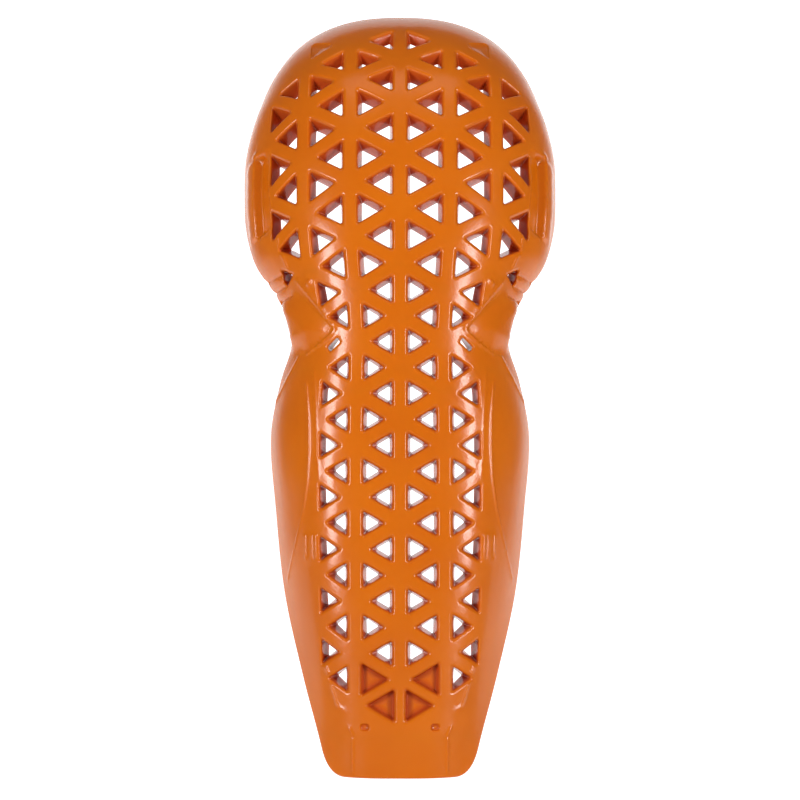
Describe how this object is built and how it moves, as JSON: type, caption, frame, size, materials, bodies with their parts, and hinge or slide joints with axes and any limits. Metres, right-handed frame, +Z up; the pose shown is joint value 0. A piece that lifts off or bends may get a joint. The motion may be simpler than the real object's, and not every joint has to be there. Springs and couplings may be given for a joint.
{
  "type": "knee guard",
  "caption": "Soft moulded knee and shin guard: perforated domed cup, flexible waist, long shin plate with curved side wings.",
  "frame": {"origin": "inner apex of the knee cup, where the kneecap rests", "axes": "+Z up the shin towards the thigh, front of the guard faces -Y, +Y points back into the leg, +X to the right seen from the front"},
  "size_m": [0.1518, 0.0671, 0.362],
  "materials": {
    "moulding": "smooth moulded orange polyurethane, semi-gloss skin"
  },
  "bodies": {
    "knee": {"knee_cup": "moulding", "knee_brow": "moulding", "waist_web": "moulding", "right_waist_gusset": "moulding", "left_waist_gusset": "moulding", "right_knee_flap_web": "moulding", "left_knee_flap_web": "moulding"},
    "shin": {"shin_plate": "moulding", "toe_panel": "moulding", "right_shin_wing_web": "moulding", "left_shin_wing_web": "moulding"},
    "right_flap": {"right_knee_flap": "moulding"},
    "left_flap": {"left_knee_flap": "moulding"},
    "right_wing": {"right_shin_wing": "moulding"},
    "left_wing": {"left_shin_wing": "moulding"}
  },
  "joints": [
    {"name": "knee_flex", "type": "hinge", "parent": "knee", "child": "shin", "pos_m": [0, -0.01, -0.071], "axis": [1, 0, 0], "range_deg": [-8, 30], "stiffness_Nm_per_rad": 0.6, "deforming": ["waist_web", "right_waist_gusset", "left_waist_gusset"]},
    {"name": "right_flap_flex", "type": "hinge", "parent": "knee", "child": "right_flap", "pos_m": [0.06805, 0.03605, -0.0005], "axis": [0.0448, 0.1924, 0.9803], "range_deg": [-12, 12], "stiffness_Nm_per_rad": 0.2, "deforming": ["right_knee_flap_web"]},
    {"name": "left_flap_flex", "type": "hinge", "parent": "knee", "child": "left_flap", "pos_m": [-0.06805, 0.03605, -0.0005], "axis": [0.0448, -0.1924, -0.9803], "range_deg": [-12, 12], "stiffness_Nm_per_rad": 0.2, "deforming": ["left_knee_flap_web"]},
    {"name": "right_wing_flex", "type": "hinge", "parent": "shin", "child": "right_wing", "pos_m": [0.04935, 0.0118, -0.1715], "axis": [0.1116, 0.1733, 0.9785], "range_deg": [-15, 12], "stiffness_Nm_per_rad": 0.2, "deforming": ["right_shin_wing_web"]},
    {"name": "left_wing_flex", "type": "hinge", "parent": "shin", "child": "left_wing", "pos_m": [-0.04935, 0.0118, -0.1715], "axis": [0.1116, -0.1733, -0.9785], "range_deg": [-15, 12], "stiffness_Nm_per_rad": 0.2, "deforming": ["left_shin_wing_web"]}
  ]
}
